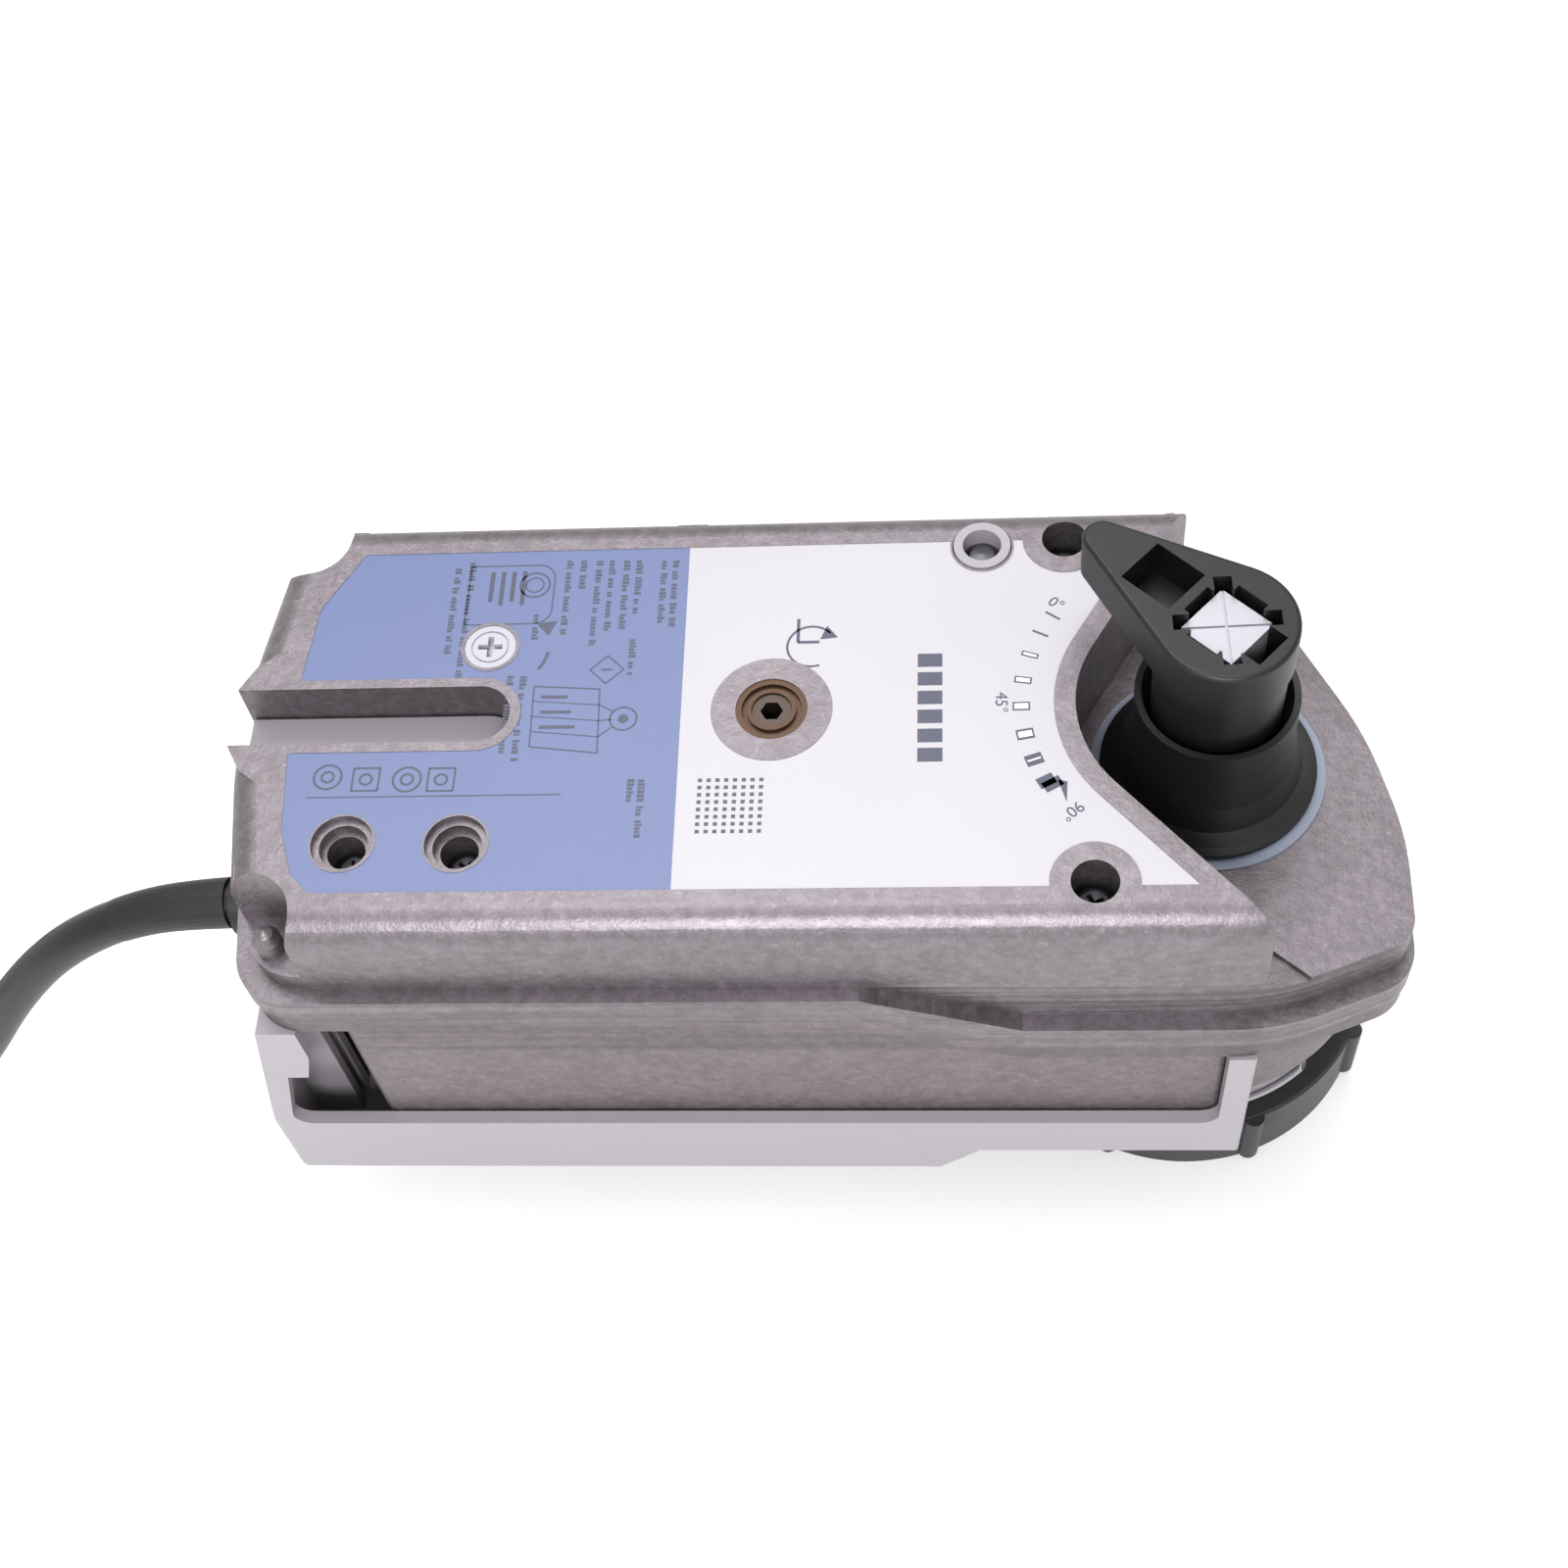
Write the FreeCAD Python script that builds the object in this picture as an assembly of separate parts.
"""Motorised actuator head for a quarter-turn valve, built as an assembly of separate pieces.

Millimetres. The origin is on the output shaft's axis, in the plane of the valve neck's lower end.
+Z runs up the shaft to the lever, +X towards the round nose, -X towards the cable end.
"""

import FreeCAD
import Part
import math
import os

V = FreeCAD.Vector
UP = V(0, 0, 1)

# ---- overall sizes of the cast body -------------------------------------------------------------
half_width = 38.0        # shaft centre line to a cast side wall
tail_reach = 149.7       # shaft axis to the tip of the bowed tail wall
nose_reach = 28.9        # shaft axis to the nose wall
cast_top = 90.0          # flat top of the body
deck_top = 71.0          # sunk deck around the output shaft
cast_bottom = 27.0       # underside of the lower casting
wall = 2.5               # casting wall
floor_wall = 3.0         # floor of the lower casting
top_rounding = 5.0
edge_rounding = 1.5

# ---- the flange where the two castings meet -----------------------------------------------------
lip_out = 2.5            # the flange stands this far out of the wall
lip_nose = 1.0           # at the nose it stands out by less
lip_rise = 5.0           # height of each half of the flange
parting_tail = 68.0      # parting plane over the tail
parting_drop = 10.0      # the parting plane steps down by this much towards the nose
step_start = -53.0
step_end = -29.0
gasket_thickness = 0.6
gasket_inset = 1.2       # the gasket's edge lies this far inside the flange's edge

# ---- recess around the output shaft -------------------------------------------------------------
notch_radius = 20.6
notch_angle_near = 222.0
notch_angle_far = 150.0

# ---- face label ---------------------------------------------------------------------------------
label_half_width = 31.0
label_rim = 3.2          # bare metal left along the notch
label_thickness = 0.3
label_sink = 0.4

# ---- slot for an anti-rotation strap ------------------------------------------------------------
slot_half_width = 5.05
slot_end = -110.8        # centre of the slot's round end
slot_depth = 7.7         # down to the tray's key
slot_rim = 1.6

# ---- base tray and union ring -------------------------------------------------------------------
tray_wall = 2.2
tray_rim = 29.1
tray_bottom_tail = 11.0
tray_bottom_nose = 18.0
tray_step_start = -42.5
tray_step_end = -35.8
tray_nose_end = 6.5      # the tray's straight sides stop here
tray_end_wall = 2.6
tray_overhang = 3.9      # the tray reaches this far past the tail at its foot
box_nose_end = 3.4       # the lower casting's straight sides stop here
nose_radius = 30.8       # the lower casting's round nose
apron_bottom = 18.4      # a curved apron under it reaches down to here
neck_bore = 24.5         # the valve's neck goes in here
neck_radius = 28.0
hook_rise = 2.0
hook_height = 2.2
ring_bottom = -7.0       # the ring hangs below the neck's end
ring_top = 7.5
ring_radius = 32.05
ring_bore = 30.0
grip_count = 8
grip_radius = 1.8
grip_first_angle = -25.0
clip_wire = 0.6          # radius of the sprung wire on the neck
clip_end_angle = -48.0

# ---- output drive -------------------------------------------------------------------------------
hub_rim_top = 92.5
hub_rim_radius = 12.1
hub_disc_radius = 16.5
hub_disc_z = 72.3
hub_journal = 13.0       # where the hub passes through the deck
hub_shank = 10.5         # hub below the gear
hub_bottom = 21.5
seal_radius = 18.0
seal_height = 0.4
square_side = 9.2        # square drive
lever_top = 110.2
lever_thickness = 8.0
lever_boss = 10.3
lever_tip_radius = 3.0
lever_tip_reach = 22.8
lever_angle = 137.0
lever_post = 9.7
lever_post_bottom = 80.0
stem_socket_depth = 14.0 # the valve's square stem reaches this far into the hub

# ---- gear train ---------------------------------------------------------------------------------
pressure_angle = 20.0
backlash = 0.24
module_out = 1.0
module_mid = 0.8
module_fast = 0.6
teeth_output = 40
teeth_final_pinion = 14
teeth_final_wheel = 38
teeth_middle_pinion = 14
teeth_middle_wheel = 36
teeth_manual_pinion = 14
teeth_manual_wheel = 48
teeth_motor = 12
teeth_barrel = 50
arbor_radius = 2.0
running = 0.05           # radial clearance of a shaft in its hole
apart = 0.4              # clearance between pieces that don't touch
manual_x = -65.9         # axis of the manual drive

plate_z = 53.0
plate_thickness = 2.0
gear_gap = 1.2
output_gear_width = 6.0
mid_gear_width = 4.5
fast_gear_width = 4.0

# ---- fastenings in the face ---------------------------------------------------------------------
screw_well = 3.5
screw_well_rim = 6.5
near_well = (-18.8, -30.3)
far_well = (-21.3, 31.0)
post_place = (-34.1, 29.9)
post_radius = 4.43
post_screw_radius = 3.0
lock_place = (-110.1, 12.5)
lock_radius = 4.0
countersink_places = [(-128.6, -22.6), (-111.5, -22.8)]
countersink_radius = 4.7
pocket_place = (-142.0, 34.5)
pocket_radius = 7.0
pocket_floor = 77.0
annulus_radius = 9.2
bush_radius = 5.45
manual_shaft_radius = 3.0
hex_across = 3.0

# ---- cable --------------------------------------------------------------------------------------
cable_diameter = 7.0
cable_exit = V(-151.0, -20.0, 68.2)
cable_route = [
    (-142.5, -20.0, 68.2),
    (-153.0, -20.0, 68.2),
    (-168.0, -20.4, 66.0),
    (-183.0, -21.5, 57.5),
    (-196.5, -23.0, 43.0),
    (-209.0, -24.5, 24.5),
    (-222.5, -25.6, 7.5),
    (-239.5, -25.6, -2.2),
    (-259.0, -25.0, -3.5),
]
coil_centre = (-277.0, 17.0)
coil_middle_radius = 38.5

# ---- values that follow from the sizes above ----------------------------------------------------
parting_nose = parting_tail - parting_drop
ceiling = cast_top - wall
deck_ceiling = deck_top - wall
floor_top = cast_bottom + floor_wall
lever_bottom = lever_top - lever_thickness
output_gear_z = plate_z + plate_thickness + gear_gap
final_wheel_z = output_gear_z + output_gear_width + gear_gap
middle_wheel_z = final_wheel_z + mid_gear_width + gear_gap
manual_wheel_z = middle_wheel_z + mid_gear_width + gear_gap
barrel_gear_z = plate_z - gear_gap - 2 * mid_gear_width


def gear_distance(module, a, b):
    return module * (a + b) / 2.0


def meeting_point(centre_a, reach_a, centre_b, reach_b, side):
    """The point at reach_a from centre_a and reach_b from centre_b, on the given side of their line."""
    dx = centre_b[0] - centre_a[0]
    dy = centre_b[1] - centre_a[1]
    span = math.hypot(dx, dy)
    along = (reach_a**2 - reach_b**2 + span**2) / (2 * span)
    across = side * math.sqrt(max(reach_a**2 - along**2, 0.0))
    x = centre_a[0] + (along * dx - across * dy) / span
    y = centre_a[1] + (along * dy + across * dx) / span
    return (x, y)


output_axis = (0.0, 0.0)
final_axis = (-gear_distance(module_out, teeth_output, teeth_final_pinion), 0.0)
manual_axis = (manual_x, 0.0)
middle_axis = meeting_point(
    final_axis,
    gear_distance(module_mid, teeth_final_wheel, teeth_middle_pinion),
    manual_axis,
    gear_distance(module_mid, teeth_middle_wheel, teeth_manual_pinion),
    1,
)
motor_axis = (manual_x - gear_distance(module_fast, teeth_manual_wheel, teeth_motor), 0.0)
barrel_axis = (final_axis[0] - gear_distance(module_out, teeth_final_pinion, teeth_barrel), 0.0)


# ---- drawing helpers ----------------------------------------------------------------------------
def at(place, z=0.0):
    return V(place[0], place[1], z)


def cylinder(place, radius, z0, z1):
    return Part.makeCylinder(radius, z1 - z0, at(place, z0), UP)


def tube(place, outer, inner, z0, z1):
    return cylinder(place, outer, z0, z1).cut(cylinder(place, inner, z0 - 1, z1 + 1))


def block(x0, x1, y0, y1, z0, z1):
    return Part.makeBox(x1 - x0, y1 - y0, z1 - z0, V(x0, y0, z0))


def prism(face, z0, z1):
    moved = face.copy()
    moved.translate(V(0, 0, z0 - moved.BoundBox.ZMin))
    return moved.extrude(V(0, 0, z1 - z0))


def polygon(points):
    corners = [V(x, y, 0) for x, y in points]
    return Part.Face(Part.makePolygon(corners + corners[:1]))


def rounded_outline(corners):
    """A flat face through corners (x, y, radius), with each corner rounded to its radius."""
    edges = []
    last = None
    first = None
    count = len(corners)
    for i in range(count):
        before = V(*corners[i - 1][:2], 0)
        here = V(*corners[i][:2], 0)
        after = V(*corners[(i + 1) % count][:2], 0)
        radius = corners[i][2]
        back = (before - here).normalize()
        on = (after - here).normalize()
        half = back.getAngle(on) / 2
        reach = radius / math.tan(half)
        start = here + back * reach
        end = here + on * reach
        middle = here + (back + on).normalize() * (radius / math.sin(half) - radius)
        if last is not None:
            edges.append(Part.LineSegment(last, start).toShape())
        else:
            first = start
        edges.append(Part.Arc(start, middle, end).toShape())
        last = end
    edges.append(Part.LineSegment(last, first).toShape())
    return Part.Face(Part.Wire(edges))


def stadium(x0, x1, radius):
    """A slot's outline on the X axis, square at x0 and round about (x1, 0)."""
    top = V(x1, radius, 0)
    low = V(x1, -radius, 0)
    edges = [
        Part.LineSegment(V(x0, -radius, 0), low).toShape(),
        Part.Arc(low, V(x1 + radius, 0, 0), top).toShape(),
        Part.LineSegment(top, V(x0, radius, 0)).toShape(),
        Part.LineSegment(V(x0, radius, 0), V(x0, -radius, 0)).toShape(),
    ]
    return Part.Face(Part.Wire(edges))


def turned(place, profile):
    """A solid of revolution about the vertical axis at place, from (radius, z) points."""
    corners = [V(r, 0, z) for r, z in profile]
    face = Part.Face(Part.makePolygon(corners + corners[:1]))
    solid = face.revolve(V(0, 0, 0), UP, 360)
    solid.translate(at(place))
    return solid


def side_band(heights, low, high):
    """The space between two copies of a stepped line (x, z), moved to low and high, over the whole width."""
    reach = 3 * half_width
    bottom = [V(x, -reach, z + low) for x, z in heights]
    top = [V(x, -reach, z + high) for x, z in reversed(heights)]
    corners = bottom + top
    return Part.Face(Part.makePolygon(corners + corners[:1])).extrude(V(0, 2 * reach, 0))


def fuse_all(shapes):
    return shapes[0].multiFuse(shapes[1:]).removeSplitter()


def cut_all(shape, tools):
    return shape.cut(Part.makeCompound(tools)) if len(tools) == 1 else shape.cut(tools[0].multiFuse(tools[1:]))


def save(name, shape):
    solids = shape.Solids
    whole = solids[0] if len(solids) == 1 else Part.makeCompound(solids)
    whole.exportStep("parts/" + name + ".step")
    volume = sum(s.Volume for s in solids)
    print(name, len(solids), "solid(s)", round(volume, 1), "mm3", "ok" if whole.isValid() else "INVALID")


# ---- outlines of the body -----------------------------------------------------------------------
def body_outline(out, nose_out):
    """The body's plan, drawn out by `out` at the sides and tail and by `nose_out` at the nose."""
    w = half_width + out
    n = nose_reach + nose_out
    t = tail_reach + out
    return rounded_outline([
        (n - 20.9, -w, 40),
        (n - 0.3, 8.4 - w, 5.5 + out),
        (n, 26 - w, 50),
        (n - 4.4, w - 31.5, 60),
        (n - 20.3, w, 8),
        (5.4 - t, w, 9),
        (-t, 0, 91),
        (5.4 - t, -w, 9),
    ])


def offset_face(face, distance):
    return face.makeOffset2D(distance)


def notch_face(radius):
    """The plan of the recess around the shaft: an arc with two straight edges that run out of the body."""
    near = math.radians(notch_angle_near)
    far = math.radians(notch_angle_far)
    middle = (near + far) / 2
    reach = 3 * half_width
    near_point = V(radius * math.cos(near), radius * math.sin(near), 0)
    far_point = V(radius * math.cos(far), radius * math.sin(far), 0)
    near_end = near_point + V(-math.sin(near), math.cos(near), 0) * reach
    far_end = far_point + V(math.sin(far), -math.cos(far), 0) * reach
    edges = [
        Part.Arc(far_point, V(radius * math.cos(middle), radius * math.sin(middle), 0), near_point).toShape(),
        Part.LineSegment(near_point, near_end).toShape(),
        Part.LineSegment(near_end, V(reach * 2, 0, 0)).toShape(),
        Part.LineSegment(V(reach * 2, 0, 0), far_end).toShape(),
        Part.LineSegment(far_end, far_point).toShape(),
    ]
    return Part.Face(Part.Wire(edges))


def parting_line():
    far = 4 * tail_reach
    return [(-far, parting_tail), (step_start, parting_tail), (step_end, parting_nose), (far, parting_nose)]


WALL = body_outline(0.0, 0.0)
LIP = body_outline(lip_out, lip_nose)
INSIDE = offset_face(WALL, -wall)
well_places = [near_well, far_well]
corner_places = [pocket_place, (pocket_place[0], -pocket_place[1])]


# ---- castings -----------------------------------------------------------------------------------
def round_top(shape, z, radius):
    edges = [e for e in shape.Edges if e.BoundBox.ZMin > z - 0.01]
    return shape.makeFillet(radius, edges)


def upper_block():
    """The outside of the upper casting: a high block, a sunk deck at the nose and a flange below."""
    high = round_top(prism(WALL, parting_nose, cast_top), cast_top, top_rounding)
    slot_boss = polygon([(0.8 - tail_reach, -5.2), (3.2 - tail_reach, -9.5), (9 - tail_reach, -14),
                         (9 - tail_reach, 14), (3.2 - tail_reach, 9.5), (0.8 - tail_reach, 5.2)])
    high = high.fuse(prism(slot_boss, parting_tail, cast_top))
    high = high.cut(prism(notch_face(notch_radius), deck_top, cast_top + 1))
    low = round_top(prism(WALL, parting_nose, deck_top), deck_top, edge_rounding)
    body = fuse_all([high, low])
    body = body.cut(side_band(parting_line(), -40, 0))
    flange = prism(LIP, parting_nose - 1, cast_top).common(side_band(parting_line(), 0, lip_rise))
    return fuse_all([body, flange])


def upper_cavity():
    room = prism(INSIDE, parting_nose - 5, ceiling)
    room = room.cut(prism(notch_face(notch_radius + wall), deck_ceiling, cast_top))
    return room


def upper_bosses():
    """Pads and pillars under the top of the upper casting."""
    bosses = [prism(offset_face(stadium(-tail_reach, slot_end, slot_half_width), wall), parting_tail, ceiling + 1)]
    bosses.append(cylinder(manual_axis, annulus_radius, manual_wheel_z + fast_gear_width + 1, ceiling + 1))
    bosses.append(cylinder(final_axis, 4.4, middle_wheel_z - 0.6, ceiling + 1))
    bosses.append(cylinder(middle_axis, 4.4, middle_wheel_z + mid_gear_width + 1, ceiling + 1))
    for place in well_places:
        bosses.append(cylinder(place, screw_well + 2, parting_nose, ceiling + 1))
    bosses.append(cylinder(post_place, post_radius + 2, parting_tail - 2, ceiling + 1))
    bosses.append(cylinder(lock_place, lock_radius + 2, ceiling - 10, ceiling + 1))
    for place in countersink_places:
        bosses.append(cylinder(place, countersink_radius + 1.3, parting_tail, ceiling + 1))
    for place in corner_places:
        bosses.append(cylinder(place, pocket_radius + wall, parting_tail, ceiling + 1))
    for place in clamp_places:
        bosses.append(cylinder(place, clamp_boss, parting_nose, ceiling + 1))
    inside = prism(offset_face(WALL, -wall / 2), parting_nose, cast_top - wall / 2)
    inside = inside.cut(prism(notch_face(notch_radius + wall / 2), deck_top - wall / 2, cast_top))
    inside = inside.cut(side_band(parting_line(), -40, 0))
    return fuse_all(bosses).common(inside)


def stepped_hole(place, steps):
    """A hole from the top down: (radius, bottom of that step)."""
    holes = []
    for radius, bottom in steps:
        holes.append(cylinder(place, radius, bottom, cast_top + 1))
    return holes


def upper_holes():
    holes = [prism(stadium(-tail_reach - 20, slot_end, slot_half_width), parting_tail - 20, cast_top + 1)]
    holes.append(cylinder(manual_axis, bush_radius, manual_wheel_z, cast_top + 1))
    holes.append(cylinder(final_axis, arbor_radius + running, final_wheel_z, middle_wheel_z + 5))
    holes.append(cylinder(middle_axis, arbor_radius + running, middle_wheel_z, manual_wheel_z + 6))
    holes.append(cylinder(output_axis, hub_journal + running, parting_nose - 5, cast_top))
    for place in well_places:
        holes += stepped_hole(place, [(screw_well, cast_top - 9), (screw_shank + 0.2, parting_nose - 5)])
    holes += stepped_hole(post_place, [(post_radius + 0.2, parting_tail - 12)])
    holes += stepped_hole(lock_place, [(lock_radius + running, cast_top - 6.5), (2.0 + running, ceiling - 12)])
    for place in countersink_places:
        holes += stepped_hole(place, [(countersink_radius, cast_top - 1.2), (countersink_radius - 1, cast_top - 3.0),
                                      (2.9, cast_top - 10), (screw_shank + 0.2, parting_tail - 5)])
    for place in corner_places:
        holes.append(cylinder(place, pocket_radius, pocket_floor, cast_top + 5))
    for place in clamp_places:
        holes.append(cylinder(place, screw_shank, parting_nose - 1, clamp_screw_top(place) + 1))
    return holes


def label_outline():
    """The label's plan: bowed at the tail, cut back round the notch, the wells, the slot and the corners."""
    w = label_half_width
    t = tail_reach
    plan = rounded_outline([
        (2 * half_width, -w, 1), (2 * half_width, w, 1), (17.5 - t, w, 0.8), (11.6 - t, w - 10.7, 4),
        (9.9 - t, 0, 60), (11.6 - t, 10.7 - w, 4), (14.2 - t, 3.1 - w, 1.5), (17.2 - t, -w, 0.8),
    ])
    tools = [prism(notch_face(notch_radius + label_rim), -1, 1)]
    tools.append(prism(stadium(-t - 20, slot_end, slot_half_width + slot_rim), -1, 1))
    tools += [cylinder(place, screw_well_rim, -1, 1) for place in well_places]
    tools += [cylinder(place, countersink_radius + 0.3, -1, 1) for place in countersink_places]
    tools.append(cylinder(manual_axis, annulus_radius, -1, 1))
    tools.append(cylinder(post_place, post_radius + 0.5, -1, 1))
    tools.append(cylinder(lock_place, lock_radius + 0.6, -1, 1))
    cut = plan.cut(tools[0].multiFuse(tools[1:]))
    return Part.makeCompound([f for f in cut.Faces if f.Area > 50])


def corner_stud(place):
    """A round stud with a pointed crown on the floor of a corner pocket."""
    return turned((place[0] + 1.0, place[1] * 0.96), [
        (0, pocket_floor - 1), (2.1, pocket_floor - 1), (2.1, pocket_floor + 3.2),
        (1.3, pocket_floor + 4.8), (0, pocket_floor + 5.6)])


def corner_facet():
    """The small three-sided pocket sunk in the deck beside the near wall's corner."""
    y = -half_width
    corner = polygon([(4.5, y + 1.0), (6.8, y + 7.2), (13.4, y + 1.6), (12.6, y + 0.3)])
    return prism(corner, deck_top - 0.9, deck_top + 1)


def upper_housing():
    body = upper_block()
    body = body.cut(upper_cavity())
    body = fuse_all([body, upper_bosses()])
    body = cut_all(body, upper_holes())
    body = body.cut(prism(label_outline(), cast_top - label_sink, cast_top + 1))
    body = body.cut(corner_facet())
    studs = [corner_stud(place) for place in corner_places]
    body = fuse_all([body] + studs)
    return body.cut(cable_tunnel(grommet_radius))


def lower_body(inset, z0, z1, foot_rounding=0):
    """The lower casting below its flange as one solid, drawn in by inset: a box with a round nose."""
    w = half_width
    t = tail_reach
    box = rounded_outline([
        (box_nose_end, -w, 2), (box_nose_end, w, 2), (16.2 - t, w, 2), (7.2 - t, 22.5, 4), (7.2 - t, -22.5, 4),
        (16.2 - t, -w, 2)])
    under = offset_face(LIP, -0.4 - inset)
    if inset:
        box = offset_face(box, -inset)
    nose = cylinder(output_axis, nose_radius - inset, z0, z1).common(prism(under, z0, z1))
    box = prism(box, z0, z1)
    if foot_rounding:
        box = box.makeFillet(foot_rounding, [e for e in box.Edges if e.BoundBox.ZMax < z0 + 0.01])
    return fuse_all([box, nose])


screw_shank = 1.6
pillar_radius = 4.0
pillar_places = [(-97.0, 28.0), (-97.0, -28.0), (-48.0, 31.0), (-48.0, -31.0)]
clamp_places = [(-132.0, 31.0), (-132.0, -31.0), (-80.0, 33.2), (-80.0, -33.2), (-3.0, 33.2), (-3.0, -33.2)]
clamp_boss = 4.2


def clamp_screw_top(place):
    return (parting_tail if place[0] < step_start else parting_nose) + 6


def lower_bosses():
    bosses = [prism(offset_face(stadium(-tail_reach, slot_end, slot_half_width), wall), cast_bottom, parting_tail)]
    bosses += [cylinder(place, pillar_radius, cast_bottom, plate_z) for place in pillar_places]
    bosses += [cylinder(place, clamp_boss, cast_bottom, parting_tail) for place in clamp_places]
    bosses += [cylinder(place, 3.6, cast_bottom, parting_tail) for place in well_places + countersink_places]
    bosses.append(cylinder(final_axis, 4.4, cast_bottom, floor_top + 2))
    bosses.append(cylinder(barrel_axis, 6.0, cast_bottom, floor_top + 0.6))
    bosses.append(cylinder(output_axis, hub_shank + 3.0, cast_bottom, floor_top + 6))
    inside = lower_body(wall / 2, cast_bottom, parting_tail)
    return fuse_all(bosses).common(inside).common(side_band(parting_line(), -100, 0))


def lower_holes():
    holes = [prism(stadium(-tail_reach - 20, slot_end, slot_half_width), cast_bottom - 1, parting_tail + 5)]
    holes.append(cylinder(output_axis, hub_shank + running, cast_bottom - 1, parting_tail))
    holes.append(cylinder(final_axis, arbor_radius + running, cast_bottom + 1.2, floor_top + 3))
    holes.append(cylinder(barrel_axis, barrel_arbor_radius, cast_bottom + 1.2, floor_top + 3))
    for place in clamp_places:
        holes.append(cylinder(place, screw_shank + 0.2, cast_bottom - 1, parting_tail + 1))
        holes.append(cylinder(place, 3.1, cast_bottom - 1, cast_bottom + 3.2))
    for place in well_places + countersink_places:
        holes.append(cylinder(place, screw_shank, cast_bottom + 12, parting_tail + 1))
    for place in pillar_places:
        holes.append(cylinder(place, screw_shank, plate_z - 12, plate_z + 1))
    holes.append(cylinder(post_place, post_radius + 0.2, cast_bottom - 1, parting_tail + 1))
    return holes


def lower_housing():
    body = lower_body(0, cast_bottom, parting_tail, edge_rounding)
    flange = prism(offset_face(LIP, -0.4), cast_bottom, parting_tail)
    flange = flange.common(side_band(parting_line(), -lip_rise, 0))
    body = fuse_all([body.common(side_band(parting_line(), -100, 0)), flange, nose_apron()])
    room = lower_body(wall, floor_top, parting_tail + 5)
    body = body.cut(room)
    post_wall = cylinder(post_place, post_radius + 2, cast_bottom, parting_tail)
    bosses = fuse_all([lower_bosses(), post_wall.common(side_band(parting_line(), -100, 0))])
    body = fuse_all([body, bosses])
    body = cut_all(body, lower_holes())
    body = body.cut(side_band(parting_line(), -gasket_thickness, 1).common(gasket_seat(0.0)))
    return body.cut(cable_tunnel(grommet_radius))


def nose_apron():
    """The round collar under the casting's nose, open towards the tray."""
    apron = tube(output_axis, nose_radius, neck_radius + apart, apron_bottom, cast_bottom + 7)
    return apron.cut(block(-100, tray_nose_end + apart, -100, 100, 0, 100))


def gasket_seat(clearance):
    """The band of the flange that the gasket lies in, from inside the wall to near the flange's edge."""
    outer = prism(offset_face(LIP, clearance - gasket_inset), cast_bottom, cast_top)
    return outer.cut(prism(offset_face(WALL, 0.6 - wall), cast_bottom - 1, cast_top + 1))


def housing_gasket():
    band = side_band(parting_line(), -gasket_thickness, 0).common(gasket_seat(0.0))
    band = band.cut(prism(stadium(-tail_reach - 20, slot_end, slot_half_width), cast_bottom, cast_top))
    clear = [cylinder(place, clamp_boss + 0.2, cast_bottom, cast_top) for place in clamp_places]
    return cut_all(band, clear).cut(cable_tunnel(grommet_radius + 0.1))


def face_label():
    return prism(label_outline(), cast_top - label_sink, cast_top - label_sink + label_thickness)


# ---- cable exit ---------------------------------------------------------------------------------
grommet_radius = 5.2
grommet_flange = 6.6
grommet_reach = 1.3         # its collar stands out of the tip of the tail wall by this much


def lying_cylinder(x0, x1, radius):
    return Part.makeCylinder(radius, x1 - x0, V(x0, cable_exit.y, cable_exit.z), V(1, 0, 0))


def cable_tunnel(radius):
    return lying_cylinder(-tail_reach - 8, -tail_reach + 12, radius)


def cable_grommet():
    """A rubber sleeve through the tail wall, with a flange inside and a short collar outside."""
    tail = -tail_reach
    body = lying_cylinder(tail - grommet_reach, tail + 5, grommet_radius)
    body = body.fuse(lying_cylinder(tail + 5, tail + 7, grommet_radius - 0.1))
    bore = lying_cylinder(tail - grommet_reach, tail + 9, cable_diameter / 2)
    return body.removeSplitter().cut(bore)


def cable_tube():
    """Straight runs joined by tangent arcs, as large as the runs allow."""
    points = [V(*p) for p in cable_route]
    edges = []
    last = points[0]
    radii = []
    for i in range(1, len(points) - 1):
        back = (points[i - 1] - points[i])
        on = (points[i + 1] - points[i])
        shorter = min(back.Length, on.Length)
        back = back.normalize()
        on = on.normalize()
        half = back.getAngle(on) / 2
        half_turn = math.pi / 2 - half
        reach = 0.45 * shorter
        radius = reach / math.tan(half_turn)
        radii.append(round(radius, 1))
        start = points[i] + back * reach
        end = points[i] + on * reach
        middle = points[i] + (back + on).normalize() * (radius / math.cos(half_turn) - radius)
        edges.append(Part.LineSegment(last, start).toShape())
        edges.append(Part.Arc(start, middle, end).toShape())
        last = end
    edges.append(Part.LineSegment(last, points[-1]).toShape())
    path = Part.Wire(edges)
    section = Part.Wire(Part.Circle(points[0], points[1] - points[0], cable_diameter / 2).toShape())
    body = path.makePipeShell([section], True, False)
    ideal = math.pi * (cable_diameter / 2) ** 2 * path.Length
    print("cable radii", radii, "length", round(path.Length, 1), "volume share", round(body.Volume / ideal, 5))
    return body


def cable_coil():
    """The outer shape of the coiled length: two turns side by side, two layers high."""
    d = cable_diameter
    return tube(coil_centre, coil_middle_radius + d, coil_middle_radius - d, ring_bottom, ring_bottom + 2 * d)


def cable_wires():
    """Four insulated cores that stick out of the jacket's far end, lying on the floor inside the coil."""
    radius = 0.9
    x0 = coil_centre[0] - 25.7
    y0 = coil_centre[1] - 15.5
    cores = []
    for k in range(4):
        place = V(x0 + k * 2.4, y0, ring_bottom + radius)
        cores.append(Part.makeCylinder(radius, 26.5 - 2 * k, place, V(0, 1, 0)))
    return Part.makeCompound(cores)


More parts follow.
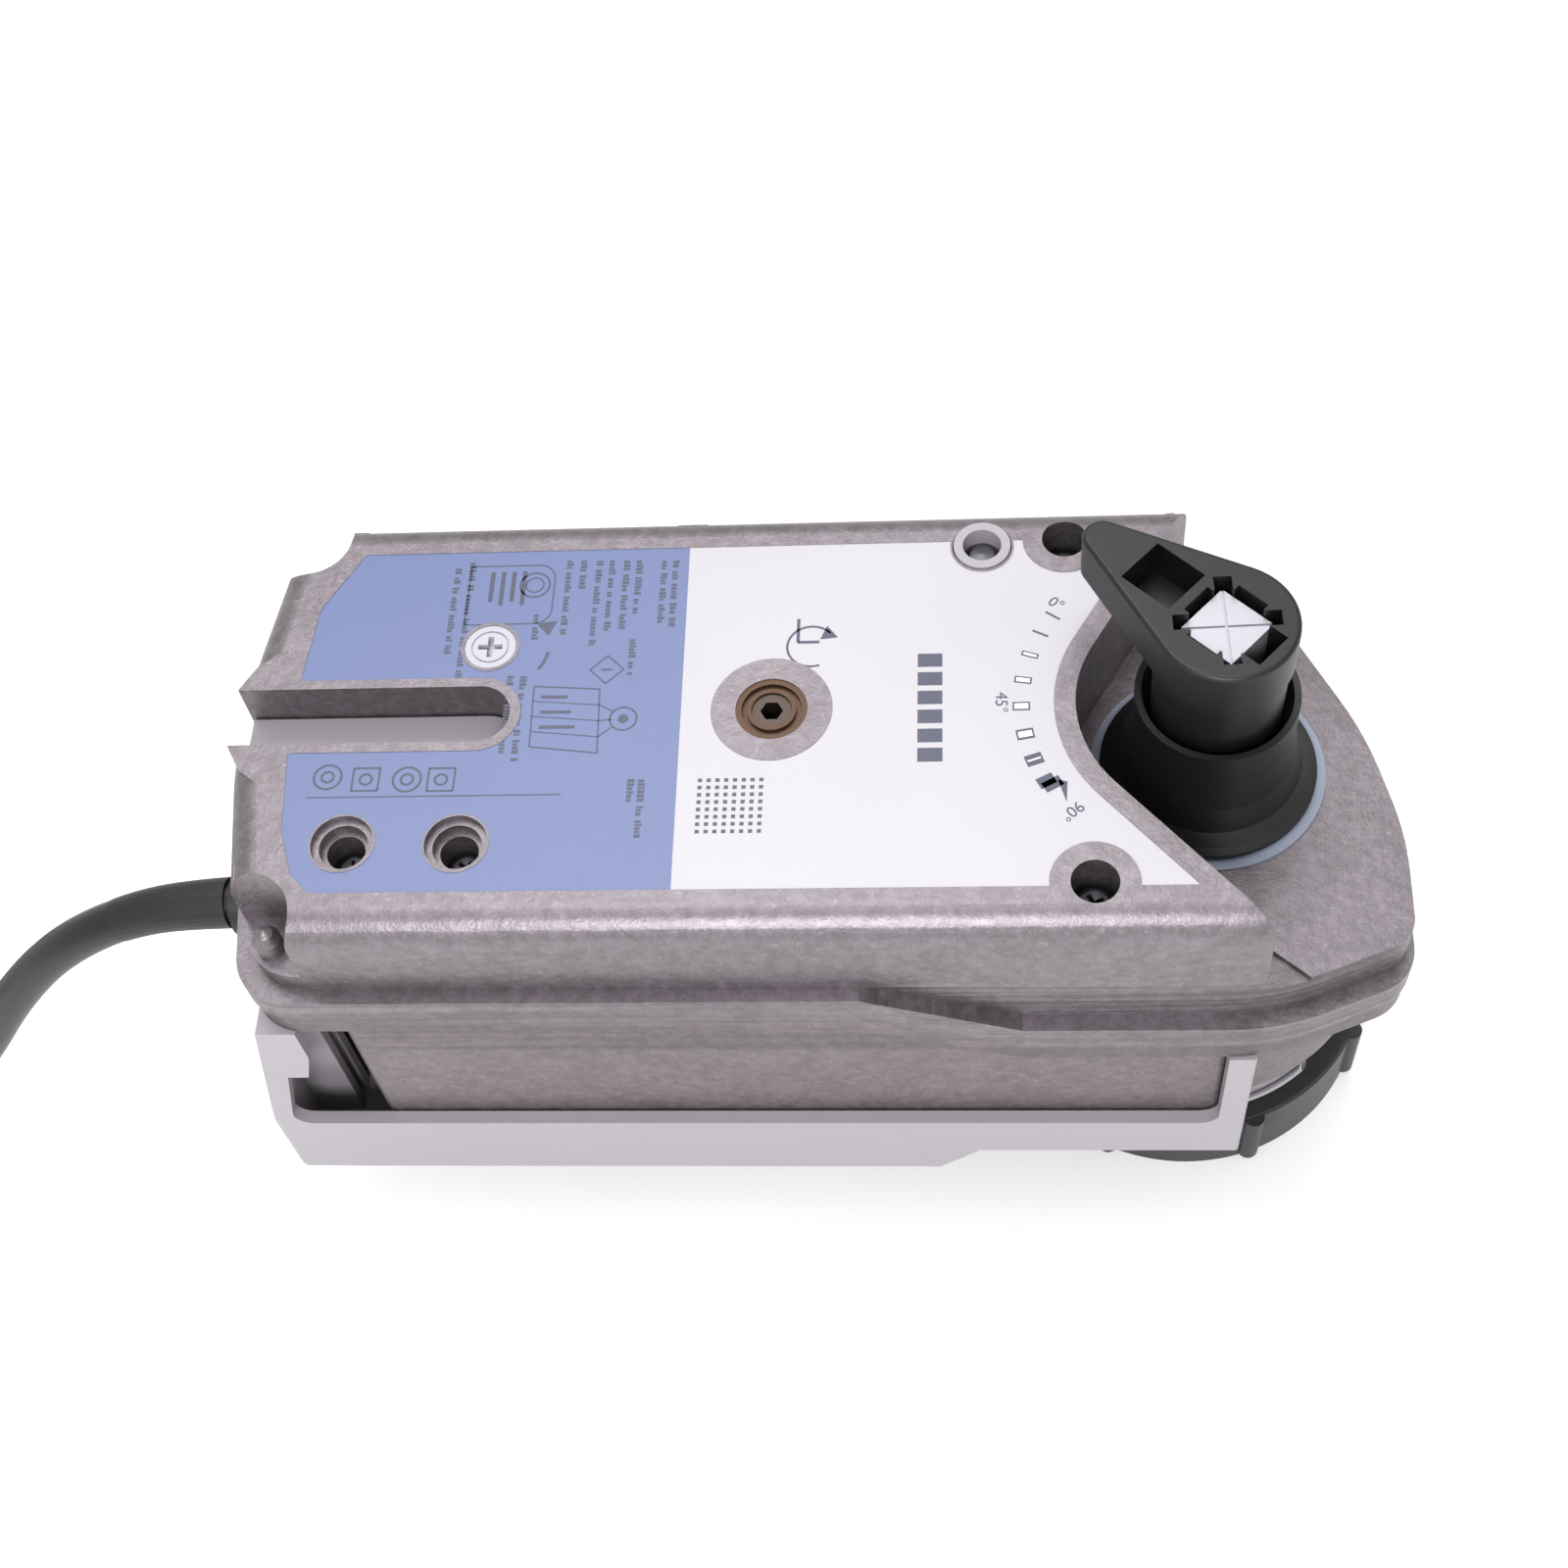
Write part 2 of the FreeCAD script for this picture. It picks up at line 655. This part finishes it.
# ---- base tray and union ring -------------------------------------------------------------------
def tray_floor_line():
    far = 4 * tail_reach
    return [(-far, tray_bottom_tail), (tray_step_start, tray_bottom_tail), (tray_step_end, tray_bottom_nose),
            (far, tray_bottom_nose)]


def tray_plan(inset):
    """The tray's outline: straight sides, square at both ends."""
    w = half_width + lip_out - inset
    tail = inset - tail_reach - tray_overhang
    nose = tray_nose_end - inset
    return rounded_outline([(nose, -w, 0.6), (nose, w, 0.6), (tail, w, 2.0), (tail, -w, 2.0)])


def upright(points):
    """A prism over the whole width from (x, z) points."""
    reach = 3 * half_width
    corners = [V(x, -reach, z) for x, z in points]
    return Part.Face(Part.makePolygon(corners + corners[:1])).extrude(V(0, 2 * reach, 0))


def beyond_tail_wall(inset, top):
    """What lies behind the tray's sloping tail wall, with the slope moved inwards by inset."""
    t = tail_reach
    return upright([(-t - 30, 0), (inset - t - tray_overhang, 0), (inset - t - 3.1, tray_rim),
                    (inset - t + 3.2, top), (-t - 30, top)])


def tray_window(top):
    """The open side over the tray's rim, with a step at the tail."""
    t = tail_reach
    x0 = 0.1 - t
    x1 = tray_nose_end - 4.2
    opening = upright([(x0, tray_rim), (x1, tray_rim), (x1, top), (9.3 - t, top), (9.3 - t, tray_rim + 25.1),
                       (7.4 - t, tray_rim + 18), (4.0 - t, tray_rim + 18)])
    corners = [e for e in opening.Edges if e.BoundBox.YLength > 10 and e.BoundBox.ZMax < tray_rim + 1]
    return opening.makeFillet(3.0, corners)


def valve_neck():
    """The sleeve that the valve's neck goes in, with a hook round it that carries the union ring."""
    return turned(output_axis, [
        (neck_bore - 1, 0), (neck_radius, 0), (neck_radius, hook_rise), (neck_radius + 1.6, hook_rise),
        (neck_radius + 1.6, hook_rise + hook_height), (neck_radius, hook_rise + hook_height + 0.1),
        (neck_radius, tray_bottom_nose + tray_wall), (neck_bore - 1, tray_bottom_nose + tray_wall)])


def base_tray():
    top_tail = parting_tail - lip_rise - 0.3
    under_flange = side_band(parting_line(), -100, -lip_rise - 0.3)
    outer = prism(tray_plan(0), tray_bottom_tail, top_tail).cut(beyond_tail_wall(0.0, top_tail + 1))
    inner = prism(tray_plan(tray_wall), tray_bottom_tail - 1, top_tail + 1)
    inner = inner.common(side_band(tray_floor_line(), tray_wall, 100))
    inner = inner.cut(beyond_tail_wall(tray_end_wall, top_tail + 2))
    box = outer.common(side_band(tray_floor_line(), 0, 100)).cut(inner)
    box = box.cut(tray_window(top_tail + 5))
    tray = fuse_all([box, valve_neck()])
    tray = tray.cut(cylinder(output_axis, neck_bore, -1, tray_bottom_nose + tray_wall + 1))
    tray = tray.cut(cylinder(output_axis, nose_radius + apart, tray_bottom_nose + tray_wall, top_tail))
    key_top = cast_top - slot_depth
    key_clear = 0.3
    key_face = stadium(1.2 - tail_reach, slot_end, slot_half_width - key_clear)
    key = prism(key_face, tray_bottom_tail + 1, key_top).cut(beyond_tail_wall(0.0, top_tail))
    ribs = [block(-tail_reach - 5, 7.0 - tail_reach, y - 0.9, y + 0.9, tray_bottom_tail + 1, top_tail - 3)
            .cut(beyond_tail_wall(0.5, top_tail)) for y in (-30, -26, 26, 30)]
    post = cylinder(post_place, post_radius, tray_bottom_tail + 1, cast_bottom - 1)
    post = post.common(side_band(tray_floor_line(), 0.5, 100))
    hollow_face = stadium(9.0 - tail_reach, slot_end, slot_half_width - key_clear - 2.0)
    hollow = prism(hollow_face, 0, key_top - 2.5)
    tray = fuse_all([tray, key] + ribs + [post]).cut(hollow)
    tray = tray.common(under_flange.fuse(prism(offset_face(key_face, 1.0), 0, key_top + 1)))
    return tray.cut(cylinder(post_place, screw_shank + 0.1, tray_bottom_tail + 8, cast_top))


def tray_post():
    """The white sleeve that stands on the tray and ends flush in the face."""
    return tube(post_place, post_radius, post_screw_radius, cast_bottom - 0.8, cast_top + 0.3)


def tray_post_screw():
    """A long screw with a domed head, deep in the sleeve."""
    head = turned(post_place, [(0, cast_top - 7), (post_screw_radius - 0.1, cast_top - 7),
                               (post_screw_radius - 0.1, cast_top - 3), (1.9, cast_top - 2.2), (0, cast_top - 1.9)])
    return fuse_all([head, cylinder(post_place, screw_shank, tray_bottom_nose + 3, cast_top - 6.5)])


def union_ring():
    lip_z = hook_rise + hook_height + 0.3
    body = turned(output_axis, [
        (ring_bore, ring_bottom), (ring_radius, ring_bottom), (ring_radius, ring_top - 0.5),
        (ring_radius - 0.5, ring_top), (neck_radius + 0.3, ring_top), (neck_radius + 0.3, lip_z),
        (ring_bore, lip_z)])
    grips = []
    for k in range(grip_count):
        angle = math.radians(grip_first_angle + k * 360.0 / grip_count)
        place = ((ring_radius - 0.3) * math.cos(angle), (ring_radius - 0.3) * math.sin(angle))
        grips.append(cylinder(place, grip_radius, ring_bottom + 0.6, ring_top - 0.2))
    body = fuse_all([body] + grips)
    body = body.cut(cylinder(output_axis, ring_bore, ring_bottom - 1, lip_z))
    return body.cut(cylinder(output_axis, neck_radius + 0.3, ring_bottom - 1, ring_top + 1))


def neck_clip():
    """The sprung wire round the neck, just above the ring, with one end turned up."""
    reach = neck_radius + 0.1 + clip_wire
    z = ring_top + 0.3 + clip_wire
    wire = Part.makeTorus(reach, clip_wire, V(0, 0, z), UP, -180, 180, 320)
    wire.rotate(V(0, 0, 0), UP, clip_end_angle - 320)
    angle = math.radians(clip_end_angle + 0.5)
    end = cylinder((reach * math.cos(angle), reach * math.sin(angle)), clip_wire, z - 0.2, z + 2.6)
    return fuse_all([wire, end])


# ---- output drive -------------------------------------------------------------------------------
def drive_hub():
    """The black hub: a thin collar above the deck, a wide skirt over the seal, a shank through the body."""
    shoulder = deck_ceiling - 0.2
    disc_under = deck_top + seal_height + 0.3
    body = turned(output_axis, [
        (0, hub_bottom), (hub_shank, hub_bottom), (hub_shank, shoulder), (hub_journal, shoulder + 0.1),
        (hub_journal, disc_under), (hub_disc_radius, disc_under + 0.2), (hub_disc_radius, hub_disc_z + 0.6),
        (hub_disc_radius - 0.9, hub_disc_z + 1.4), (hub_rim_radius + 1.9, hub_disc_z + 3.2),
        (hub_rim_radius + 0.6, hub_disc_z + 7.5), (hub_rim_radius, hub_disc_z + 13), (hub_rim_radius, hub_rim_top),
        (hub_rim_radius - 1.0, hub_rim_top), (lever_post + 0.35, hub_rim_top - 3.5),
        (lever_post + 0.35, lever_post_bottom - 0.5), (0, lever_post_bottom - 0.5)])
    return body.cut(square_bar(square_side + 0.1, hub_bottom - 1, lever_post_bottom))


def square_bar(side, z0, z1):
    bar = block(-side / 2, side / 2, -side / 2, side / 2, z0, z1)
    bar.rotate(V(0, 0, 0), UP, lever_angle)
    return bar


def drive_square():
    """The square bar from the top of the stem's socket up through the hub and the lever."""
    top = lever_top - 1.6
    bar = square_bar(square_side, hub_bottom + stem_socket_depth, top)
    return cut_all(bar, [square_groove(0, top), square_groove(90, top)])


def square_groove(turn, top):
    groove = block(-square_side, square_side, -0.18, 0.18, top - 0.35, top + 1)
    groove.rotate(V(0, 0, 0), UP, lever_angle - 45 + turn)
    return groove


def lever_plan():
    """A round boss and a narrower round tip joined by straight flanks, pointing along +X."""
    lean = math.asin((lever_boss - lever_tip_radius) / lever_tip_reach)
    c = math.sin(lean)
    s = math.cos(lean)
    boss_top = V(lever_boss * c, lever_boss * s, 0)
    boss_low = V(lever_boss * c, -lever_boss * s, 0)
    tip_top = V(lever_tip_reach + lever_tip_radius * c, lever_tip_radius * s, 0)
    tip_low = V(lever_tip_reach + lever_tip_radius * c, -lever_tip_radius * s, 0)
    edges = [
        Part.Arc(boss_top, V(-lever_boss, 0, 0), boss_low).toShape(),
        Part.LineSegment(boss_low, tip_low).toShape(),
        Part.Arc(tip_low, V(lever_tip_reach + lever_tip_radius, 0, 0), tip_top).toShape(),
        Part.LineSegment(tip_top, boss_top).toShape(),
    ]
    return Part.Face(Part.Wire(edges))


def star_hole(z0, z1):
    """The square hole with relief slits in its sides and corners, and one wide relief behind."""
    side = square_side + 0.3
    cuts = [block(-side / 2, side / 2, -side / 2, side / 2, z0, z1)]
    for quarter in range(4):
        slit = block(0, side / 2 + 1.0, -2.6, 2.6, z0, z1)
        corner = block(0, side * 0.5 * math.sqrt(2) + 0.9, -1.3, 1.3, z0, z1)
        slit.rotate(V(0, 0, 0), UP, 90 * quarter)
        corner.rotate(V(0, 0, 0), UP, 90 * quarter + 45)
        cuts += [slit, corner]
    cuts.append(block(-side / 2 - 3.4, 0, -3.1, 3.1, z0, z1))
    return fuse_all(cuts)


def indicator_lever():
    """The pointer that seats on the square drive, with its round post down in the hub."""
    plate = prism(lever_plan(), lever_bottom, lever_top)
    plate = round_top(plate, lever_top, 0.7)
    post = cylinder(output_axis, lever_post, lever_post_bottom, lever_bottom + 1)
    body = fuse_all([plate, post])
    window = block(7.3, 16.0, -4.0, 4.0, lever_bottom + 1.4, lever_top + 1)
    body = body.cut(window).cut(star_hole(lever_post_bottom - 1, lever_top + 1))
    body.rotate(V(0, 0, 0), UP, lever_angle)
    return body


def seal_ring():
    """The light ring that lies on the deck under the hub's skirt."""
    return tube(output_axis, seal_radius, hub_journal + 0.4, deck_top, deck_top + seal_height)


def hub_circlip():
    z = cast_bottom - 1.9
    ring = tube(output_axis, hub_shank + 2.0, hub_shank, z, z + 1.2)
    return ring.cut(block(0, 30, -2.5, 2.5, z - 1, z + 3))


# ---- gears --------------------------------------------------------------------------------------
def involute_point(base, radius):
    """(radius, angle) of an involute that starts at the base circle."""
    roll = math.sqrt(max((radius / base) ** 2 - 1.0, 0.0))
    return roll - math.atan(roll)


def gear_face(module, teeth, toward):
    """An involute gear's plan, with the middle of a tooth at the angle `toward`, in degrees."""
    pitch = module * teeth / 2.0
    tip = pitch + 0.9 * module
    root = pitch - 1.2 * module
    base = pitch * math.cos(math.radians(pressure_angle))
    half_tooth = math.pi / (2 * teeth) - backlash / 4 / pitch
    at_pitch = involute_point(base, pitch)
    start = max(base, root)
    radii = [start, (start + pitch) / 2, pitch, (pitch + tip) / 2, tip]
    flank = [(r, half_tooth + at_pitch - involute_point(base, r)) for r in radii]
    if root < base:
        flank.insert(0, (root, flank[0][1]))
    corners = []
    for tooth in range(teeth):
        middle = math.radians(toward) + 2 * math.pi * tooth / teeth
        for radius, angle in flank:
            corners.append((radius * math.cos(middle - angle), radius * math.sin(middle - angle)))
        for radius, angle in reversed(flank):
            corners.append((radius * math.cos(middle + angle), radius * math.sin(middle + angle)))
    return polygon(corners)


def direction(a, b):
    return math.degrees(math.atan2(b[1] - a[1], b[0] - a[0]))


def gear(module, teeth, place, toward, z0, width, bore, gap=False):
    """A spur gear at place. It has a tooth towards `toward`, or a gap there where gap is set."""
    phase = toward + (180.0 / teeth if gap else 0.0)
    body = prism(gear_face(module, teeth, phase), z0, z0 + width)
    body.translate(at(place))
    return body.cut(cylinder(place, bore, z0 - 1, z0 + width + 1))


def lightened(body, place, inner, outer, z0, width, count):
    """Round holes through a wheel's web."""
    middle = (inner + outer) / 2
    radius = (outer - inner) / 2 - 1.2
    holes = []
    for k in range(count):
        angle = 2 * math.pi * (k + 0.5) / count
        centre = (place[0] + middle * math.cos(angle), place[1] + middle * math.sin(angle))
        holes.append(cylinder(centre, radius, z0 - 1, z0 + width + 1))
    return cut_all(body, holes)


def output_gear():
    toward = direction(output_axis, final_axis)
    body = gear(module_out, teeth_output, output_axis, toward, output_gear_z, output_gear_width, hub_shank)
    return lightened(body, output_axis, hub_shank, module_out * teeth_output / 2 - 1.5, output_gear_z,
                     output_gear_width, 8)


def final_pinion():
    toward = direction(final_axis, output_axis)
    return gear(module_out, teeth_final_pinion, final_axis, toward, output_gear_z - 0.3, output_gear_width + 0.6,
                arbor_radius, gap=True)


def final_wheel():
    toward = direction(final_axis, middle_axis)
    body = gear(module_mid, teeth_final_wheel, final_axis, toward, final_wheel_z, mid_gear_width, arbor_radius)
    return lightened(body, final_axis, arbor_radius + 2, module_mid * teeth_final_wheel / 2 - 1.2, final_wheel_z,
                     mid_gear_width, 6)


def barrel_pinion():
    toward = direction(final_axis, barrel_axis)
    return gear(module_out, teeth_final_pinion, final_axis, toward, barrel_gear_z - 0.3, mid_gear_width + 0.6,
                arbor_radius, gap=True)


def final_arbor():
    return cylinder(final_axis, arbor_radius, cast_bottom + 1.4, middle_wheel_z + 3.5)


def middle_pinion():
    toward = direction(middle_axis, final_axis)
    return gear(module_mid, teeth_middle_pinion, middle_axis, toward, final_wheel_z - 0.2, mid_gear_width + 0.4,
                arbor_radius, gap=True)


def middle_wheel():
    toward = direction(middle_axis, manual_axis)
    body = gear(module_mid, teeth_middle_wheel, middle_axis, toward, middle_wheel_z, mid_gear_width, arbor_radius)
    return lightened(body, middle_axis, arbor_radius + 2, module_mid * teeth_middle_wheel / 2 - 1.2, middle_wheel_z,
                     mid_gear_width, 6)


def middle_arbor():
    return cylinder(middle_axis, arbor_radius, plate_z + 0.2, manual_wheel_z + 5)


def manual_pinion():
    toward = direction(manual_axis, middle_axis)
    return gear(module_mid, teeth_manual_pinion, manual_axis, toward, middle_wheel_z - 0.2, mid_gear_width + 0.4,
                manual_shaft_radius, gap=True)


def manual_wheel():
    toward = direction(manual_axis, motor_axis)
    body = gear(module_fast, teeth_manual_wheel, manual_axis, toward, manual_wheel_z, fast_gear_width,
                manual_shaft_radius)
    return lightened(body, manual_axis, manual_shaft_radius + 1.5, module_fast * teeth_manual_wheel / 2 - 1,
                     manual_wheel_z, fast_gear_width, 6)


def manual_drive_shaft():
    """The upright shaft with a hexagon socket for a crank key in its top end."""
    top = cast_top - 0.6
    body = cylinder(manual_axis, manual_shaft_radius, middle_wheel_z - 3, top)
    body = body.fuse(cylinder(manual_axis, arbor_radius, plate_z + 0.2, middle_wheel_z - 3)).removeSplitter()
    across = hex_across / math.sqrt(3)
    corners = [(manual_x + across * math.cos(math.radians(60 * k)), across * math.sin(math.radians(60 * k)))
               for k in range(6)]
    return body.cut(prism(polygon(corners), top - 6, top + 1))


def manual_drive_bush():
    """The bronze bearing bush in the face, with a turned groove round its end."""
    z0 = manual_wheel_z + fast_gear_width + 0.6
    top = cast_top - 0.2
    body = tube(manual_axis, bush_radius, manual_shaft_radius + running, z0, top)
    groove = tube(manual_axis, bush_radius - 0.9, manual_shaft_radius + 0.7, top - 0.7, top + 1)
    return body.cut(groove)


# ---- motor and spring ---------------------------------------------------------------------------
motor_radius = 14.5
motor_height = 11.5
motor_wall = 1.2
motor_shaft_radius = 1.2
barrel_arbor_radius = 3.5
barrel_radius = 22.5
barrel_wall = 1.4
spring_strip = 0.5
spring_pitch = 1.6
spring_turns = 11


def motor_can():
    """The flat motor's outer shell, with a bearing hole in its lid."""
    z0 = plate_z + plate_thickness
    outer = cylinder(motor_axis, motor_radius, z0, z0 + motor_height)
    inner = cylinder(motor_axis, motor_radius - motor_wall, z0 + motor_wall, z0 + motor_height - motor_wall)
    return outer.cut(inner).cut(cylinder(motor_axis, motor_shaft_radius + running, z0 + 0.4, z0 + motor_height + 1))


def motor_stator():
    """Nine wound poles standing in the shell."""
    z0 = plate_z + plate_thickness + motor_wall
    z1 = plate_z + plate_thickness + motor_height - motor_wall
    ring = tube(motor_axis, motor_radius - motor_wall, motor_radius - motor_wall - 1.6, z0, z1)
    poles = []
    for k in range(9):
        pole = block(7.6, motor_radius - motor_wall - 1, -1.5, 1.5, z0 + 1, z1 - 1)
        pole.rotate(V(0, 0, 0), UP, 40 * k)
        pole.translate(at(motor_axis))
        poles.append(pole)
    return fuse_all([ring] + poles)


def motor_rotor():
    z0 = plate_z + plate_thickness + motor_wall + 0.6
    z1 = plate_z + plate_thickness + motor_height - motor_wall - 0.6
    return tube(motor_axis, 7.0, motor_shaft_radius, z0, z1)


def motor_shaft():
    return cylinder(motor_axis, motor_shaft_radius, plate_z + plate_thickness + 0.6, manual_wheel_z + fast_gear_width + 1)


def motor_pinion():
    toward = direction(motor_axis, manual_axis)
    return gear(module_fast, teeth_motor, motor_axis, toward, manual_wheel_z - 0.3, fast_gear_width + 0.6,
                motor_shaft_radius, gap=True)


def spring_barrel():
    """The cup that winds the mainspring, with teeth round its top edge."""
    toward = direction(barrel_axis, final_axis)
    teeth = gear(module_out, teeth_barrel, barrel_axis, toward, barrel_gear_z, mid_gear_width,
                 barrel_radius - barrel_wall)
    z0 = floor_top + 1.0
    cup = cylinder(barrel_axis, barrel_radius, z0, barrel_gear_z + 0.5)
    cup = cup.cut(cylinder(barrel_axis, barrel_radius - barrel_wall, z0 + 1.5, barrel_gear_z + 2))
    body = fuse_all([cup, teeth])
    return body.cut(cylinder(barrel_axis, barrel_arbor_radius + running, z0 - 1, z0 + 4))


def barrel_cover():
    z0 = barrel_gear_z + mid_gear_width - 1.6
    return tube(barrel_axis, barrel_radius - barrel_wall - 0.02, barrel_arbor_radius + running, z0, z0 + 1.4)


def spring_arbor():
    return cylinder(barrel_axis, barrel_arbor_radius, cast_bottom + 1.2, plate_z)


def mainspring():
    """A flat strip wound in a spiral of half circles, its outermost half turn against the barrel's wall."""
    z0 = floor_top + 3.2
    z1 = barrel_gear_z + mid_gear_width - 2.2
    halves = 2 * spring_turns - 1
    first = barrel_radius - barrel_wall - spring_strip - (halves - 1) * spring_pitch / 2
    strips = []
    for k in range(halves):
        centre = (0.0 if k % 2 == 0 else spring_pitch / 2, 0.0)
        radius = first + k * spring_pitch / 2
        side = block(-100, 100, 0, 100, z0, z1) if k % 2 == 0 else block(-100, 100, -100, 0, z0, z1)
        strips.append(tube(centre, radius + spring_strip, radius, z0, z1).common(side))
    body = fuse_all(strips)
    body.translate(at(barrel_axis))
    return body


def gear_plate():
    """The steel plate that carries the train, with a hole for each shaft that passes it."""
    plan = offset_face(WALL, -wall - 1.0)
    plan = plan.common(block(-103, 60, -100, 100, -1, 1)).Faces[0]
    plate = prism(plan, plate_z, plate_z + plate_thickness)
    plate = plate.common(lower_body(wall + 0.6, plate_z - 1, plate_z + plate_thickness + 1))
    holes = [cylinder(output_axis, hub_shank + 0.5, plate_z - 1, plate_z + 5)]
    holes.append(cylinder(final_axis, arbor_radius + running, plate_z - 1, plate_z + 5))
    holes.append(cylinder(middle_axis, arbor_radius + running, plate_z - 1, plate_z + 5))
    holes.append(cylinder(manual_axis, arbor_radius + running, plate_z - 1, plate_z + 5))
    holes += [cylinder(place, screw_shank + 0.3, plate_z - 1, plate_z + 5) for place in pillar_places]
    holes += [cylinder(place, clamp_boss + 0.6, plate_z - 1, plate_z + 5) for place in clamp_places]
    holes += [cylinder(place, 4.4, plate_z - 1, plate_z + 5) for place in well_places]
    holes.append(cylinder(post_place, post_radius + 2.6, plate_z - 1, plate_z + 5))
    return cut_all(plate, holes)


# ---- fasteners ----------------------------------------------------------------------------------
def screw(place, head_radius, head_z0, head_z1, foot, drive_depth=1.4):
    """A cross-recessed screw that points down, its head between head_z0 and head_z1."""
    body = fuse_all([cylinder(place, head_radius, head_z0, head_z1), cylinder(place, screw_shank, foot, head_z0 + 0.5)])
    x, y = place
    long_way = block(x - 1.6, x + 1.6, y - 0.35, y + 0.35, head_z1 - drive_depth, head_z1 + 1)
    cross_way = block(x - 0.35, x + 0.35, y - 1.6, y + 1.6, head_z1 - drive_depth, head_z1 + 1)
    return cut_all(body, [long_way, cross_way])


def face_screws():
    """The screws deep in the face's wells and stepped holes."""
    screws = [screw(place, 3.2, cast_top - 9, cast_top - 6.6, cast_bottom + 15) for place in well_places]
    screws += [screw(place, 2.7, cast_top - 10, cast_top - 7.4, cast_bottom + 15) for place in countersink_places]
    return Part.makeCompound(screws)


def plate_screws():
    top = plate_z + plate_thickness
    return Part.makeCompound([screw(place, 2.8, top, top + 1.8, plate_z - 10) for place in pillar_places])


def clamp_screws():
    """The screws that go up from under the lower casting into the upper one."""
    screws = []
    for place in clamp_places:
        head = cylinder(place, 2.8, cast_bottom + 0.6, cast_bottom + 3.2)
        screws.append(fuse_all([head, cylinder(place, screw_shank, cast_bottom + 3, clamp_screw_top(place))]))
    return Part.makeCompound(screws)


def lock_pin():
    """The quarter-turn stop pin in the face, with a cross slot."""
    top = cast_top - 0.1
    body = fuse_all([cylinder(lock_place, lock_radius, cast_top - 6.4, top),
                     cylinder(lock_place, 2.0, ceiling - 11.5, cast_top - 6)])
    x, y = lock_place
    ring = tube(lock_place, 3.0, 2.7, top - 0.3, top + 1)
    slots = [block(x - 1.9, x + 1.9, y - 0.45, y + 0.45, top - 1.4, top + 1),
             block(x - 0.45, x + 0.45, y - 1.9, y + 1.9, top - 1.4, top + 1)]
    return cut_all(body, slots + [ring])


# ---- electrics ----------------------------------------------------------------------------------
board_z = 44.0
board_thickness = 1.6
board_box = (-138.0, -93.0, 9.5, 23.4)


def circuit_board():
    x0, x1, y0, y1 = board_box
    return block(x0, x1, y0, y1, board_z, board_z + board_thickness)


def board_parts():
    """Capacitors, a choke and a chip, each its own solid, standing on the board."""
    x0, x1, y0, y1 = board_box
    top = board_z + board_thickness
    middle = (y0 + y1) / 2
    parts = [cylinder((x0 + 7 + 11 * k, middle + 1.5), 4.2, top, top + 9) for k in range(2)]
    parts.append(tube((x0 + 29, middle), 5.4, 2.6, top, top + 5))
    parts.append(block(x1 - 8.5, x1 - 2.5, middle - 3.5, middle + 3.5, top, top + 1.6))
    return Part.makeCompound(parts)


def board_stands():
    x0, x1, y0, y1 = board_box
    places = [(x0 + 3, y0 + 2.5), (x1 - 3, y0 + 2.5), (x0 + 3, y1 - 2.5), (x1 - 3, y1 - 2.5)]
    return Part.makeCompound([cylinder(place, 1.8, floor_top, board_z) for place in places])


def terminal_block():
    """The screw terminals that the cable's cores go to, on a foot that stands on the floor."""
    x0 = 12.2 - tail_reach
    x1 = x0 + 4.9
    y = cable_exit.y
    top = cable_exit.z - 6
    body = fuse_all([block(x0, x1, y - 5, y + 8, top - 10, top), block(x0, x1, y - 3, y + 4, floor_top, top - 5)])
    holes = [cylinder(((x0 + x1) / 2, y - 3.2 + 3.2 * k), 1.1, top - 3, top + 1) for k in range(4)]
    return cut_all(body, holes)


# ---- build --------------------------------------------------------------------------------------
def build():
    os.makedirs("parts", exist_ok=True)
    pieces = {
        "upper_housing": upper_housing(),
        "lower_housing": lower_housing(),
        "housing_gasket": housing_gasket(),
        "face_label": face_label(),
        "base_tray": base_tray(),
        "tray_post": tray_post(),
        "tray_post_screw": tray_post_screw(),
        "union_ring": union_ring(),
        "neck_clip": neck_clip(),
        "drive_hub": drive_hub(),
        "drive_square": drive_square(),
        "indicator_lever": indicator_lever(),
        "seal_ring": seal_ring(),
        "hub_circlip": hub_circlip(),
        "output_gear": output_gear(),
        "final_pinion": final_pinion(),
        "final_wheel": final_wheel(),
        "barrel_pinion": barrel_pinion(),
        "final_arbor": final_arbor(),
        "middle_pinion": middle_pinion(),
        "middle_wheel": middle_wheel(),
        "middle_arbor": middle_arbor(),
        "manual_pinion": manual_pinion(),
        "manual_wheel": manual_wheel(),
        "manual_drive_shaft": manual_drive_shaft(),
        "manual_drive_bush": manual_drive_bush(),
        "motor_can": motor_can(),
        "motor_stator": motor_stator(),
        "motor_rotor": motor_rotor(),
        "motor_shaft": motor_shaft(),
        "motor_pinion": motor_pinion(),
        "spring_barrel": spring_barrel(),
        "barrel_cover": barrel_cover(),
        "spring_arbor": spring_arbor(),
        "mainspring": mainspring(),
        "gear_plate": gear_plate(),
        "face_screws": face_screws(),
        "plate_screws": plate_screws(),
        "clamp_screws": clamp_screws(),
        "lock_pin": lock_pin(),
        "circuit_board": circuit_board(),
        "board_parts": board_parts(),
        "board_stands": board_stands(),
        "terminal_block": terminal_block(),
        "cable_grommet": cable_grommet(),
        "cable": cable_tube(),
        "cable_coil": cable_coil(),
        "cable_wires": cable_wires(),
    }
    for name, shape in pieces.items():
        save(name, shape)


build()
